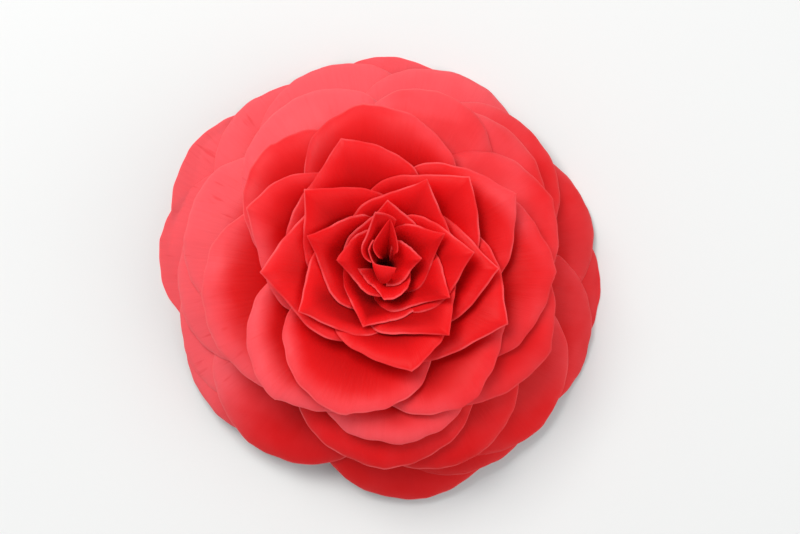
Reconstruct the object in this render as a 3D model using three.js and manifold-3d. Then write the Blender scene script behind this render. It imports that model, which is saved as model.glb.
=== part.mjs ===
// A fully double camellia bloom, picked with its calyx and laid face up.
// Millimetres, +Z up. The origin is the middle of the calyx's flat underside, where
// the bloom rests, and the bloom's axis is the Z axis.
//
// The petals are laid as they grow: broad blades in overlapping whorls round one axis.
// Each blade lies on a cup of its own. The cups of the heart stand steeply, the next
// ones open like a bowl, and the outermost arch over and hang down to the table.

import * as THREE from 'three';
import { mergeVertices } from 'three/addons/utils/BufferGeometryUtils.js';
import Module from 'manifold-3d';

const wasm = await Module();
wasm.setup();

// Thickness of a petal and of a calyx scale
const PETAL_THICK = 0.62;
const SCALE_THICK = 0.8;

// Every petal as [direction, reach, left side, right side], whorl by whorl from the heart
// outward, in degrees and mm from the axis. A side is [turn from the tip to its end,
// reach of its end, straightness of its margin]: 1 for a straight side of a pointed
// petal, more for a hollow one, 0 for a round lobe.
const WHORLS = [
  [
    [8, 6.6, [68, 5.1, 0.55], [100, 4.4, 1.35]],
    [266, 6.7, [92, 4, 0], [80, 5.8, 1.5]],
    [174, 9.8, [98, 5.4, 1.4], [66, 8.2, 0.35]],
  ],
  [
    [29, 13.6, [62, 7.5, 1], [84, 5, 1.6]],
    [88, 13.8, [84, 8.8, 1.25], [62, 9.8, 0.8]],
    [335, 14.3, [60, 9.6, 0.8], [92, 4.5, 1.75]],
    [249, 12.4, [66, 10.2, 0.85], [84, 8, 1.25]],
  ],
  [
    [157, 17.3, [78, 9.6, 1.25], [70, 9.5, 0.95]],
    [10, 18.7, [60, 12.5, 0.95], [70, 10, 1]],
    [314, 19, [56, 14, 0.85], [80, 8.5, 1.3]],
    [206, 20, [76, 10, 1.05], [64, 13, 0.9]],
  ],
  [
    [65, 20.7, [66, 12, 1.1], [60, 14.5, 1]],
    [285, 22, [46, 15.5, 0.5], [76, 12.5, 0.7]],
    [135, 23.8, [62, 11.5, 1.1], [66, 10.5, 0.95]],
  ],
  [
    [1, 24.1, [64, 14, 1.1], [62, 12, 0.9]],
    [181, 26.2, [70, 15, 1], [56, 18, 0.75]],
    [48, 27, [66, 14, 0.9], [56, 14, 0.75]],
    [337, 28.5, [54, 20, 0.6], [70, 16, 1]],
  ],
  [
    [108, 30, [60, 22, 0.95], [52, 16, 0.5]],
    [255, 31.8, [50, 18, 0.4], [56, 21, 0]],
    [155, 32.6, [56, 18, 0.95], [52, 14, 0.2]],
    [31, 33.1, [54, 20, 0.6], [50, 16, 0.7]],
  ],
  [
    [307, 33.4, [50, 22, 0.45], [52, 20, -0.1]],
    [229, 36.3, [46, 22, 0.5], [50, 22, 0.1]],
    [276, 37.5, [46, 26, 0.2], [46, 24, 0.15]],
    [1, 37.6, [48, 26, 0.3], [48, 26, 0.3]],
  ],
  [
    [97, 38.1, [46, 14, 0.15], [54, 20, 0.3]],
    [131, 38.7, [46, 22, 0.2], [42, 20, 0.3]],
    [190, 40.7, [50, 28, 0], [40, 30, 0]],
    [336, 40.4, [44, 29, 0.3], [44, 29, 0.3]],
  ],
  [
    [25, 41.3, [44, 24, 0.2], [44, 29, 0.3]],
    [270, 42.6, [38, 32, 0.1], [38, 31, 0.2]],
    [74, 43.5, [34, 25, 0], [36, 28, 0.1]],
  ],
  [
    [48, 44.2, [36, 33, 0.1], [36, 33, 0.1]],
    [117, 45.6, [42, 28, 0.15], [38, 28, 0]],
    [294, 45.2, [34, 33, 0.1], [34, 33, 0.1]],
    [160, 46.9, [34, 34, 0], [32, 31, 0]],
  ],
  [
    [180, 47.3, [32, 35, 0.1], [32, 35, 0.1]],
    [230, 48, [34, 35, 0.1], [34, 35, 0.1]],
    [198, 48.2, [32, 35, 0.1], [32, 35, 0.1]],
  ],
  [
    [46, 48.4, [32, 36, 0.1], [32, 36, 0.1]],
    [318, 49, [32, 36, 0.1], [32, 36, 0.1]],
    [302, 48.6, [30, 37, 0.1], [30, 37, 0.1]],
    [211, 49.5, [30, 38, 0.1], [30, 38, 0.1]],
  ],
  [
    [338, 49.8, [30, 38, 0.1], [28, 38, 0.1]],
    [20, 50.2, [28, 38, 0.1], [28, 38, 0.1]],
    [358, 50.2, [28, 38, 0.1], [30, 38, 0.1]],
    [281, 50.4, [32, 38, 0.1], [32, 38, 0.1]],
  ],
  [
    [70, 51.6, [28, 39, 0.1], [30, 39, 0.1]],
    [106, 52.2, [28, 39, 0.1], [28, 39, 0.1]],
    [125, 52.4, [30, 38, 0.1], [28, 38, 0.1]],
  ],
  [
    [89, 52.8, [26, 40, 0.1], [26, 40, 0.1]],
    [169, 52.8, [28, 39, 0.1], [28, 39, 0.1]],
    [146, 54.8, [28, 42, 0.1], [28, 42, 0.1]],
  ],
];

// The small petals that close the heart, standing round its hollow. The foot and the tip
// lie at these radii and the tip at this height. flare bends the petal over toward its
// tip, bulge swells it outward below the tip, and moved shifts its tip in x and y.
const HEART = [
  {
    direction: 86, foot: 1.7, reach: 9.4, top: 36, flare: 1.9, bulge: 0,
    left: [62, 2, 2], right: [40, 3, 2.8], moved: [0, 0],
  },
  {
    direction: 104, foot: 2.4, reach: 10.9, top: 36.8, flare: 1.8, bulge: 0,
    left: [76, 3.4, 1.9], right: [26, 9.2, 0.4], moved: [0, 0],
  },
  {
    direction: 165, foot: 1.9, reach: 3.7, top: 34, flare: 1, bulge: 0,
    left: [56, 3, 0.8], right: [36, 4, 0], moved: [-0.5, 1.7],
  },
  {
    direction: 262, foot: 1.9, reach: 8.5, top: 34.6, flare: 1, bulge: 2.9,
    left: [18, 9, 0], right: [18, 8.4, 0], moved: [0.4, 7.6],
  },
];
const HEART_FOOT = 20;

// How much lower the margin of a heart petal ends where it falls back from the tip, and
// the share of its span that it has at the foot
const HEART_LOW = 0.3;
const HEART_SPAN = 0.55;

// How much faster a bulged petal rises, and how much less it bulges at its sides
const HOOD_RISE = 0.35;
const HOOD_SIDES = 0.55;

// The heart stands a little off the axis, and the whorls near it follow it, less and
// less within this many cups
const HEART_SHIFT = new THREE.Vector2(0.7, 2.2);
const HEART_FADE = 12;

// The cups, from the innermost to the outermost: number of the cup, radius and height
// of its root, the slope in degrees with which a petal leaves it, and how much the
// petal bends over, in radians a millimetre. A petal's cup is numbered by its reach.
const CUPS = [
  { cup: 5, rootRadius: 1, rootHeight: 22, slope: 88, bend: 0.045 },
  { cup: 12, rootRadius: 2.5, rootHeight: 14, slope: 80, bend: 0.0175 },
  { cup: 25, rootRadius: 4, rootHeight: 12, slope: 70, bend: 0.021 },
  { cup: 35, rootRadius: 5, rootHeight: 10.5, slope: 55, bend: 0.0227 },
  { cup: 50, rootRadius: 6.5, rootHeight: 8, slope: 36, bend: 0.0255 },
  { cup: 60, rootRadius: 7.5, rootHeight: 6.4, slope: 20, bend: 0.0185 },
  { cup: 66, rootRadius: 8, rootHeight: 5.4, slope: 10, bend: 0.014 },
];

// How many cups apart petals that overlap lie, from the heart outward: [cup, apart].
// Steep cups need more, because their faces close up where they stand.
const APART = [[5, 1.4], [12, 2.2], [25, 1.8], [35, 1.6], [45, 1.8], [66, 1.7]];

// Petals whose spans meet by less than this share of them may lie in one cup
const TOUCHING = 0.88;

// Beyond this reach the cups go on by more than a number for each millimetre of reach
const HANG_FROM = 42;
const HANG_RATE = 1.35;

// The rim sags by this much in each direction, until the lowest petals lie on the
// table: [direction, drop], once round. The sag starts and is full at these radii.
const SAG = [[0, 4.5], [45, 4.5], [90, 1.2], [145, 0.4], [210, 4.2], [275, 2.6], [335, 4.5], [360, 4.5]];
const SAG_FROM = 26;
const SAG_FULL = 48;

// Half the angle of a sharp tip, and how steeply the rest of a side's fall sets in toward
// its end, on a round lobe and beyond that on a pointed petal
const TIP_HALF_ANGLE = 54;
const SIDE_CURVE = 2.3;
const SIDE_CURVE_POINTED = 0.7;

// Share of its span that a petal has at the root
const ROOT_SPAN = 0.8;

// The margin curls outward by this much, within this distance of the edge
const LIP = 0.8;
const LIP_WIDTH = 3.5;

// Height of the waves on the outer petals' margins, and the reaches between which the
// waves set in
const WAVE = 0.3;
const WAVE_FROM = 26;
const WAVE_FULL = 42;
const SEED = 281;

// The head that the petals' bases build up in the middle: [radius, height]
const HEAD = [
  [0, 4.9], [9, 4.9], [13.6, 9], [16, 14.4], [15, 19.4], [11.4, 23.6], [6, 25], [0, 22],
];
const HEAD_SIDES = 12;

// The receptacle that carries the calyx, flat below, and the whorls of its scales, which
// leave it at a height of root and end at a height of tip
const RECEPTACLE = [[0, 0], [4.8, 0], [7.2, 1.3], [8.3, 3], [7.6, 4.5], [0, 4.5]];
const RECEPTACLE_SIDES = 16;
const SCALES = [
  { count: 4, turn: 20, reach: 9.2, root: 1.2, tip: 2.2, half: 46 },
  { count: 5, turn: 50, reach: 12.2, root: 2.0, tip: 4.0, half: 38 },
  { count: 5, turn: 14, reach: 14.4, root: 3.0, tip: 5.2, half: 34 },
];
const SCALE_START = 3;
const SCALE_FALL = 0.3;
const SCALE_NARROWING = 0.2;

// The places at which a blade is bent, along it from 0 to 1 and across it from -1 to 1.
// Petals of short reach need few. The long outer ones are bent nearer the root too.
const SHORT_REACH = 16;
const LONG_REACH = 33;
const SHORT_ALONG = [0.34, 0.74, 1];
const INNER_ALONG = [0.28, 0.6, 0.84, 1];
const OUTER_ALONG = [0.13, 0.48, 0.78, 1];
const PETAL_ACROSS = [-1, -0.76, -0.41, 0, 0.41, 0.76, 1];
const HEART_ALONG = [0, 0.45, 0.75, 1];
const SMALL_ALONG = [0, 0.7, 1];
const SMALL_ACROSS = [-1, -0.6, 0, 0.6, 1];

// The step, in shares of a petal, over which the slope of its face is taken
const NEARBY = 0.01;

const PETAL_RED = 0xe0242c;
const CALYX_GREEN = 0x6d7a3c;

const rad = THREE.MathUtils.degToRad;
const clamp = THREE.MathUtils.clamp;
const lerp = THREE.MathUtils.lerp;

// A repeatable draw of numbers from 0 to 1
function draws(seed) {
  const step = 16807;
  const size = 2147483647;
  let state = seed;
  return () => {
    state = (state * step) % size;
    return state / size;
  };
}

// The value at a place between two of the listed [place, value] pairs
function between(pairs, place) {
  let k = 1;
  while (k < pairs.length - 1 && pairs[k][0] < place) {
    k += 1;
  }
  const [low, high] = [pairs[k - 1], pairs[k]];
  return lerp(low[1], high[1], clamp((place - low[0]) / (high[0] - low[0]), 0, 1));
}

// The cup with the given number, between two of the listed ones
function cupAt(number) {
  const value = (key) => between(CUPS.map((cup) => [cup.cup, cup[key]]), number);
  return {
    radius: value('rootRadius'),
    height: value('rootHeight'),
    slope: rad(value('slope')),
    bend: value('bend'),
  };
}

// Petals in their order outward. Each takes the cup that its reach asks for, or the
// next one clear of all the petals that it overlaps.
function arrange() {
  const random = draws(SEED);
  const laid = [];
  for (const [direction, reach, left, right] of WHORLS.flat()) {
    let cup = reach + Math.max(0, reach - HANG_FROM) * (HANG_RATE - 1);
    for (const other of laid) {
      const turn = ((direction - other.direction + 540) % 360) - 180;
      const [side, facing] = turn > 0 ? [right, other.left] : [left, other.right];
      if (Math.abs(turn) < (side[0] + facing[0]) * TOUCHING) {
        cup = Math.max(cup, other.cup + between(APART, other.cup));
      }
    }
    const [phase, ripple] = [random() * 2 * Math.PI, random()];
    laid.push({ direction, reach, left, right, cup, phase, ripple });
  }
  return laid;
}

// Share by which a straight side falls short of the tip, at a turn from it in radians
function straightSide(turn) {
  const tip = rad(TIP_HALF_ANGLE);
  return 1 - Math.sin(tip) / Math.sin(tip + Math.min(turn, Math.PI / 2 - tip));
}

// The side of a petal on which a place across it lies
function sideAt({ left, right }, v) {
  return v > 0 ? left : right;
}

// Share by which the margin falls back from the tip at a place across the petal
function fallBack(petal, v) {
  const [turn, end, straightness] = sideAt(petal, v);
  const away = Math.abs(v);
  const straight = straightness * straightSide(rad(turn) * away);
  const rest = 1 - end / petal.reach - straightness * straightSide(rad(turn));
  return straight + rest * away ** (SIDE_CURVE + SIDE_CURVE_POINTED * straightness);
}

// How far the waves lift the petal's face near its margin
function wave({ reach, phase, ripple }, u, v) {
  const share = clamp((reach - WAVE_FROM) / (WAVE_FULL - WAVE_FROM), 0, 1);
  const swell = Math.sin(3 * v + phase) * u ** 4;
  const small = Math.sin((3.5 + ripple) * v + 2 * phase) * u ** 5;
  return share * WAVE * (swell + small);
}

// A point of a petal's face: u from root to margin, v across, side 1 above, -1 below
function petalPoint(petal, u, v, side) {
  const cup = cupAt(petal.cup);
  const end = Math.asin(Math.sin(cup.slope) - cup.bend * (petal.reach - cup.radius));
  const length = (cup.slope - end) / cup.bend;
  const angle = cup.slope - cup.bend * length * u * (1 - fallBack(petal, v));
  const curl = LIP * Math.exp(-((1 - u) * length) / LIP_WIDTH);
  const off = (side * PETAL_THICK) / 2 - curl + wave(petal, u, v);
  const radius = cup.radius + (Math.sin(cup.slope) - Math.sin(angle)) / cup.bend
    - off * Math.sin(angle);
  const height = cup.height + (Math.cos(angle) - Math.cos(cup.slope)) / cup.bend
    + off * Math.cos(angle);
  const span = sideAt(petal, v)[0] * lerp(ROOT_SPAN, 1, Math.min(1, 2 * u));
  const direction = petal.direction + span * v;
  const hang = Math.max(0, (radius - SAG_FROM) / (SAG_FULL - SAG_FROM)) ** 2;
  const low = height - hang * between(SAG, (direction + 360) % 360);
  const near = Math.exp(-(petal.cup - CUPS[0].cup) / HEART_FADE);
  return new THREE.Vector3(
    radius * Math.cos(rad(direction)) + near * HEART_SHIFT.x,
    radius * Math.sin(rad(direction)) + near * HEART_SHIFT.y,
    Math.max(low, side > 0 ? PETAL_THICK : 0),
  );
}

// A point of the middle of one of the heart's petals, between its two faces
function heartMiddle(petal, u, v) {
  const fall = fallBack(petal, v);
  const tip = petal.reach * (1 - fall);
  const bulge = petal.bulge * (1 - HOOD_SIDES * v ** 2);
  const radius = lerp(petal.foot, tip, u ** petal.flare) + 4 * bulge * u * (1 - u);
  const rise = 1 - (1 - u) ** (1 + HOOD_RISE * petal.bulge);
  const height = HEART_FOOT + (petal.top - HEART_FOOT) * (1 - HEART_LOW * fall) * rise;
  const span = sideAt(petal, v)[0] * lerp(HEART_SPAN, 1, u);
  const turn = rad(petal.direction + span * v);
  return new THREE.Vector3(
    radius * Math.cos(turn) + HEART_SHIFT.x + petal.moved[0] * u,
    radius * Math.sin(turn) + HEART_SHIFT.y + petal.moved[1] * u,
    height - HOOD_SIDES * bulge * v ** 2 * u,
  );
}

// A point of a heart petal's face, half the thickness off its middle
function heartPoint(petal, u, v, side) {
  const low = Math.max(0, u - NEARBY);
  const high = Math.min(1, u + NEARBY);
  const up = heartMiddle(petal, high, v).sub(heartMiddle(petal, low, v));
  const across = heartMiddle(petal, u, v + NEARBY).sub(heartMiddle(petal, u, v - NEARBY));
  const normal = up.cross(across).normalize();
  return heartMiddle(petal, u, v).addScaledVector(normal, (side * PETAL_THICK) / 2);
}

// A point of a calyx scale: a short round blade that rises outward
function scalePoint({ reach, root, tip, half }, middle, u, v, side) {
  const along = u * (1 - SCALE_FALL * Math.abs(v) ** 2.2);
  const radius = lerp(SCALE_START, reach, along);
  const height = lerp(root, tip, along) + (side * SCALE_THICK) / 2;
  const turn = rad(middle + half * v * (1 - SCALE_NARROWING * u ** 3));
  return new THREE.Vector3(
    radius * Math.cos(turn),
    radius * Math.sin(turn),
    Math.max(height, side > 0 ? SCALE_THICK : 0),
  );
}

// A closed mesh as a solid that can be joined
function solid(position, index) {
  return new wasm.Manifold(new wasm.Mesh({
    numProp: 3,
    vertProperties: new Float32Array(position),
    triVerts: new Uint32Array(index),
  }));
}

// A thin closed blade over a grid of places, split alike on both faces
function blade(along, across, place) {
  const rows = along.length;
  const columns = across.length;
  const position = [];
  for (const side of [1, -1]) {
    for (const u of along) {
      for (const v of across) {
        position.push(...place(u, v, side).toArray());
      }
    }
  }
  const under = rows * columns;
  const at = (i, j) => i * columns + j;
  const index = [];
  for (let i = 0; i < rows - 1; i += 1) {
    for (let j = 0; j < columns - 1; j += 1) {
      const [a, b, c, d] = [at(i, j), at(i + 1, j), at(i + 1, j + 1), at(i, j + 1)];
      index.push(a, b, c, a, c, d);
      index.push(under + a, under + c, under + b, under + a, under + d, under + c);
    }
  }
  const rim = [];
  for (let i = 0; i < rows - 1; i += 1) {
    rim.push(at(i, 0));
  }
  for (let j = 0; j < columns - 1; j += 1) {
    rim.push(at(rows - 1, j));
  }
  for (let i = rows - 1; i > 0; i -= 1) {
    rim.push(at(i, columns - 1));
  }
  for (let j = columns - 1; j > 0; j -= 1) {
    rim.push(at(0, j));
  }
  rim.forEach((p, k) => {
    const q = rim[(k + 1) % rim.length];
    index.push(under + p, under + q, q, under + p, q, p);
  });
  return solid(position, index);
}

// A profile of [radius, height] turned round the Z axis, closed at both ends on it
function turned(profile, sides) {
  const points = profile.map(([radius, height]) => new THREE.Vector2(radius, height));
  const lathe = new THREE.LatheGeometry(points, sides);
  lathe.rotateX(Math.PI / 2);
  lathe.deleteAttribute('normal');
  lathe.deleteAttribute('uv');
  const merged = mergeVertices(lathe);
  return solid(merged.attributes.position.array, merged.index.array);
}

// The biggest of the bodies that a join leaves, without sealed hollows or scraps
function wholeOf(joined) {
  const bodies = joined.decompose();
  return bodies.reduce((best, body) => (body.volume() > best.volume() ? body : best));
}

// The places along a petal at which it is bent
function bendsOf(petal) {
  if (petal.reach < SHORT_REACH) {
    return SHORT_ALONG;
  }
  return petal.reach < LONG_REACH ? INNER_ALONG : OUTER_ALONG;
}

function corolla() {
  let whole = turned(HEAD, HEAD_SIDES);
  for (const petal of arrange()) {
    const place = (u, v, side) => petalPoint(petal, u, v, side);
    whole = whole.add(blade(bendsOf(petal), PETAL_ACROSS, place));
  }
  for (const petal of HEART) {
    const place = (u, v, side) => heartPoint(petal, u, v, side);
    whole = whole.add(blade(HEART_ALONG, PETAL_ACROSS, place));
  }
  return wholeOf(whole);
}

function calyx() {
  let whole = turned(RECEPTACLE, RECEPTACLE_SIDES);
  for (const whorl of SCALES) {
    for (let k = 0; k < whorl.count; k += 1) {
      const middle = whorl.turn + (360 * k) / whorl.count;
      const place = (u, v, side) => scalePoint(whorl, middle, u, v, side);
      whole = whole.add(blade(SMALL_ALONG, SMALL_ACROSS, place));
    }
  }
  return wholeOf(whole);
}

function node(name, body, material) {
  const mesh = body.getMesh();
  const geometry = new THREE.BufferGeometry();
  geometry.setAttribute('position', new THREE.BufferAttribute(mesh.vertProperties, 3));
  geometry.setIndex(new THREE.BufferAttribute(mesh.triVerts, 1));
  geometry.computeVertexNormals();
  const part = new THREE.Mesh(geometry, material);
  part.name = name;
  return part;
}

const petalSkin = new THREE.MeshStandardMaterial({
  color: PETAL_RED, roughness: 0.6, metalness: 0,
});
const calyxSkin = new THREE.MeshStandardMaterial({
  color: CALYX_GREEN, roughness: 0.7, metalness: 0,
});

const bloom = new THREE.Group();
bloom.name = 'camellia_bloom';
bloom.add(node('corolla', corolla(), petalSkin));
bloom.add(node('calyx', calyx(), calyxSkin));

export default bloom;
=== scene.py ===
# %% [markdown]
# # A fully double camellia bloom, petal by petal
# The bloom was picked with its calyx and lies face up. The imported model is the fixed
# frame: one red node for all the petals and one green node for the calyx. Here each
# of them is replaced by finer pieces that keep its form: thin petals with curled
# margins, waves and veins, and the scales of the calyx. Everything is in metres.

# %% Load the frame
import math
from functools import partial
from types import SimpleNamespace

import bmesh
import bpy
import numpy as np
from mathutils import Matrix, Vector


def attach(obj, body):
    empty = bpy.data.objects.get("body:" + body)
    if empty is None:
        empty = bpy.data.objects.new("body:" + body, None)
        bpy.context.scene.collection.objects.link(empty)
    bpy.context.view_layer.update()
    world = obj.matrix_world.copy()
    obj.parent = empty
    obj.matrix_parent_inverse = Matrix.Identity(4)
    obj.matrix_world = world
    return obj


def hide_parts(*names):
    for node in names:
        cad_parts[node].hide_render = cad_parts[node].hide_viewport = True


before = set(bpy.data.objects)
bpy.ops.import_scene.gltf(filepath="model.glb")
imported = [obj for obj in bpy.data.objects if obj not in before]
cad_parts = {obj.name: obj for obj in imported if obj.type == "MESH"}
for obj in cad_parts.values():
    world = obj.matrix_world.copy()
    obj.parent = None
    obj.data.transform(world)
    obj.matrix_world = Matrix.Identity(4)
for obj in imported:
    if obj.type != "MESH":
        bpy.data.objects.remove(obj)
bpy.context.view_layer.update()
MM = 0.001

# %% [markdown]
# ## Camera, floor and light
# The bloom is seen from almost straight above, leaning a little to the lower edge of
# the picture, through a long lens. The lens shift puts the bloom's axis where it
# stands in the picture. The light is that of a bright sky: one large soft lamp at the
# upper left, a weaker one on the right, and a pale world that fills the shadows. One
# sun lamp would be simpler, but it would cut hard shadows between the petals.

# %% Camera
TOP_OF_BLOOM = 0.038
CAMERA_ELEVATION = math.radians(86)
CAMERA_DISTANCE = 0.5
LENS_MM = 104.9
SENSOR_MM = 36
LENS_SHIFT = (0.02, 0.005)
NEAREST = 0.01


def aim(thing, target):
    """Turns a lamp or camera at a place to look at the target."""
    thing.rotation_euler = (Vector(target) - thing.location).to_track_quat("-Z", "Y").to_euler()


def add_camera():
    back = CAMERA_DISTANCE * math.cos(CAMERA_ELEVATION)
    up = CAMERA_DISTANCE * math.sin(CAMERA_ELEVATION)
    bpy.ops.object.camera_add(location=(0, -back, TOP_OF_BLOOM + up))
    camera = bpy.context.object
    camera.name = "camera"
    aim(camera, (0, 0, TOP_OF_BLOOM))
    camera.data.lens = LENS_MM
    camera.data.sensor_width = SENSOR_MM
    camera.data.shift_x, camera.data.shift_y = LENS_SHIFT
    camera.data.clip_start = NEAREST
    bpy.context.scene.camera = camera
    return camera


camera = add_camera()
print("camera at", [round(c, 4) for c in camera.location])

# %% Lights and world
# Each lamp: name, place, width of its square, watts, colour
LAMPS = [
    ("sky_upper_left", (-0.26, 0.32, 0.66), 0.45, 4.15, (1.0, 0.98, 0.96)),
    ("fill_right", (0.6, -0.15, 0.5), 0.7, 2.1, (1.0, 0.97, 0.95)),
]
ROOM_COLOUR, ROOM_STRENGTH = (0.93, 0.96, 1.0, 1), 0.5


def add_lamp(name, place, size, power, colour):
    bpy.ops.object.light_add(type="AREA", location=place)
    lamp = bpy.context.object
    lamp.name = name
    lamp.data.size = size
    lamp.data.energy = power
    lamp.data.color = colour
    aim(lamp, (0, 0, TOP_OF_BLOOM / 2))
    return lamp


lamps = [add_lamp(*lamp) for lamp in LAMPS]
world = bpy.data.worlds.new("pale_room")
world.use_nodes = True
background = world.node_tree.nodes["Background"]
background.inputs["Color"].default_value = ROOM_COLOUR
background.inputs["Strength"].default_value = ROOM_STRENGTH
bpy.context.scene.world = world
bpy.context.scene.view_settings.view_transform = "Standard"
print("lamps", [lamp.name for lamp in lamps])

# %% [markdown]
# ## Small helpers for node trees
# The materials are built from the same few steps: add a node with its values, link
# two sockets, and combine masks by multiplying them. An effect that several finishes
# share becomes a node group with named inputs, so that it is built once and set
# differently each time.

# %% Node helpers
def new_node(tree, kind, **settings):
    """Adds a node. A setting is an attribute of it, or one of its inputs by name."""
    node = tree.nodes.new(kind)
    for key, value in settings.items():
        if hasattr(node, key):
            setattr(node, key, value)
        else:
            node.inputs[key.replace("_", " ")].default_value = value
    return node


def new_group(name, inputs, outputs):
    """An empty node group with sockets for numbers, and its input and output nodes."""
    group = bpy.data.node_groups.new(name, "ShaderNodeTree")
    add_socket = partial(group.interface.new_socket, socket_type="NodeSocketFloat")
    for label, value in inputs.items():
        add_socket(name=label, in_out="INPUT").default_value = value
    for label in outputs:
        add_socket(name=label, in_out="OUTPUT")
    return group, group.nodes.new("NodeGroupInput"), group.nodes.new("NodeGroupOutput")


def place_group(tree, group, **values):
    return new_node(tree, "ShaderNodeGroup", node_tree=group, **values)


def math_node(tree, operation, first, second=None):
    """A Math node. Each value is a number or a socket."""
    node = new_node(tree, "ShaderNodeMath", operation=operation)
    for k, value in enumerate((first, second)):
        if value is None:
            continue
        if isinstance(value, (int, float)):
            node.inputs[k].default_value = value
        else:
            tree.links.new(value, node.inputs[k])
    return node.outputs[0]


def mix_colour(tree, share, first, second):
    """Mixes two colours. Each is a colour or a socket, and share is a socket."""
    node = new_node(tree, "ShaderNodeMix", data_type="RGBA")
    tree.links.new(share, node.inputs["Factor"])
    for label, value in (("A", first), ("B", second)):
        socket = [s for s in node.inputs if s.name == label and s.type == "RGBA"][0]
        if isinstance(value, tuple):
            socket.default_value = (*value, 1)
        else:
            tree.links.new(value, socket)
    return [s for s in node.outputs if s.type == "RGBA"][0]


def range_node(tree, value, start, end, low=0.0, high=1.0):
    """Maps a socket's range from start..end to low..high, smoothly."""
    limits = {"From_Min": start, "From_Max": end, "To_Min": low, "To_Max": high}
    node = new_node(tree, "ShaderNodeMapRange", interpolation_type="SMOOTHSTEP", **limits)
    tree.links.new(value, node.inputs["Value"])
    return node.outputs["Result"]


def product(tree, first, *others):
    """The product of several values, each a number or a socket."""
    for other in others:
        first = math_node(tree, "MULTIPLY", first, other)
    return first


def rest_of(tree, share):
    """What a share leaves of 1."""
    return math_node(tree, "SUBTRACT", 1.0, share)


def zone(tree, *limits):
    """The product of range nodes. Each is given as a socket and its range."""
    return product(tree, *(range_node(tree, value, *limit) for value, limit in limits))


def paint(tree, ground, *layers):
    """Lays colours over a ground. Each is given as the share it covers and the colour."""
    for share, colour in layers:
        ground = mix_colour(tree, share, ground, colour)
    return ground


def attribute_node(tree, name):
    settings = {"attribute_type": "GEOMETRY", "attribute_name": name}
    return new_node(tree, "ShaderNodeAttribute", **settings).outputs["Fac"]


def object_place(tree):
    """The socket that gives a point's place on the bloom, in metres."""
    return new_node(tree, "ShaderNodeTexCoord").outputs["Object"]


def new_finish(name, settings):
    """A material with its shader's constants set, its node tree, and its shader."""
    material = bpy.data.materials.new(name)
    material.use_nodes = True
    shader = material.node_tree.nodes["Principled BSDF"]
    for label, value in settings.items():
        shader.inputs[label].default_value = value
    return material, material.node_tree, shader


def link_finish(tree, shader, colour, rough, height, **bump_settings):
    """Links a finish's colour, its roughness and the height of its bumps to its shader."""
    bump = new_node(tree, "ShaderNodeBump", **bump_settings)
    tree.links.new(height, bump.inputs["Height"])
    tree.links.new(bump.outputs["Normal"], shader.inputs["Normal"])
    tree.links.new(colour, shader.inputs["Base Color"])
    tree.links.new(rough, shader.inputs["Roughness"])


print("node helpers ready")

# %% [markdown]
# ## Shared effect: fine veins
# A camellia petal has fine veins that leave its base together and fan out to the
# margin, branching as they go. The petal's own map runs along (V) and across (U) it,
# so streaks that are narrow in U and long in V fan out with the blade by themselves.
# A noise stretched that way gives veins of uneven strength, without a texture image.
# A second one, less stretched, gives the short dry streaks of old petals, and a third
# one on the bloom's own place gives soft clouds.

# %% Fine veins group
PATTERN_STEP = 7.3
VEIN_RANGE = (0.35, 0.68)
STREAK_SHORTENING = 3.5
STREAK_RANGE = (0.65, 0.8)
CLOUD_RANGE = (0.3, 0.7)


def stretched_noise(group, sides, **settings):
    """A noise over three sides, each a socket."""
    together = new_node(group, "ShaderNodeCombineXYZ")
    for side, axis in zip(sides, "XYZ"):
        group.links.new(side, together.inputs[axis])
    noise = new_node(group, "ShaderNodeTexNoise", **settings)
    group.links.new(together.outputs[0], noise.inputs["Vector"])
    return noise.outputs["Fac"]


def build_veins():
    outputs = ("Veins", "Mottle", "Dry streaks")
    inputs = {"Petal": 0.0, "Across": 60.0, "Along": 2.5}
    group, inside, outside = new_group("fine_veins", inputs, outputs)
    place = new_node(group, "ShaderNodeUVMap", uv_map="petal_map")
    apart = new_node(group, "ShaderNodeSeparateXYZ")
    group.links.new(place.outputs["UV"], apart.inputs[0])
    across = product(group, apart.outputs["X"], inside.outputs["Across"])
    along = product(group, apart.outputs["Y"], inside.outputs["Along"])
    shift = product(group, inside.outputs["Petal"], PATTERN_STEP)
    veins = stretched_noise(
        group, (across, along, shift), Scale=1.0, Detail=3.0, Roughness=0.65, Distortion=0.35
    )
    short = product(group, along, STREAK_SHORTENING)
    dry = stretched_noise(group, (across, short, shift), Scale=0.8, Detail=1.0, Roughness=0.4)
    clouds = new_node(group, "ShaderNodeTexNoise", Scale=95.0, Detail=2.0, Roughness=0.5)
    group.links.new(object_place(group), clouds.inputs["Vector"])
    masks = (
        range_node(group, veins, *VEIN_RANGE),
        range_node(group, clouds.outputs["Fac"], *CLOUD_RANGE),
        range_node(group, dry, *STREAK_RANGE),
    )
    for label, mask in zip(outputs, masks):
        group.links.new(mask, outside.inputs[label])
    return group


FINE_VEINS = build_veins()
print("veins group", len(FINE_VEINS.nodes), "nodes")

# %% [markdown]
# ## Shared effect: the margin
# Petals and calyx scales both change along their free edge: a petal's rim is thin and catches the light,
# which is painted on it as a light line, and a scale's rim is dry and brown. The distance to the edge is
# kept on every blade as an attribute in millimetres, and the group turns it into a mask. Two noises make
# the rim uneven: one changes its width, and a broader one lets it fade out here and there, as a real rim
# does where it turns from the light.

# %% Margin group
RIM_FADE = (0.25, 1.0, 1.0, 0.0)
RIM_STRETCHES = (0.4, 0.62, 0.2, 1.0)


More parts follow.
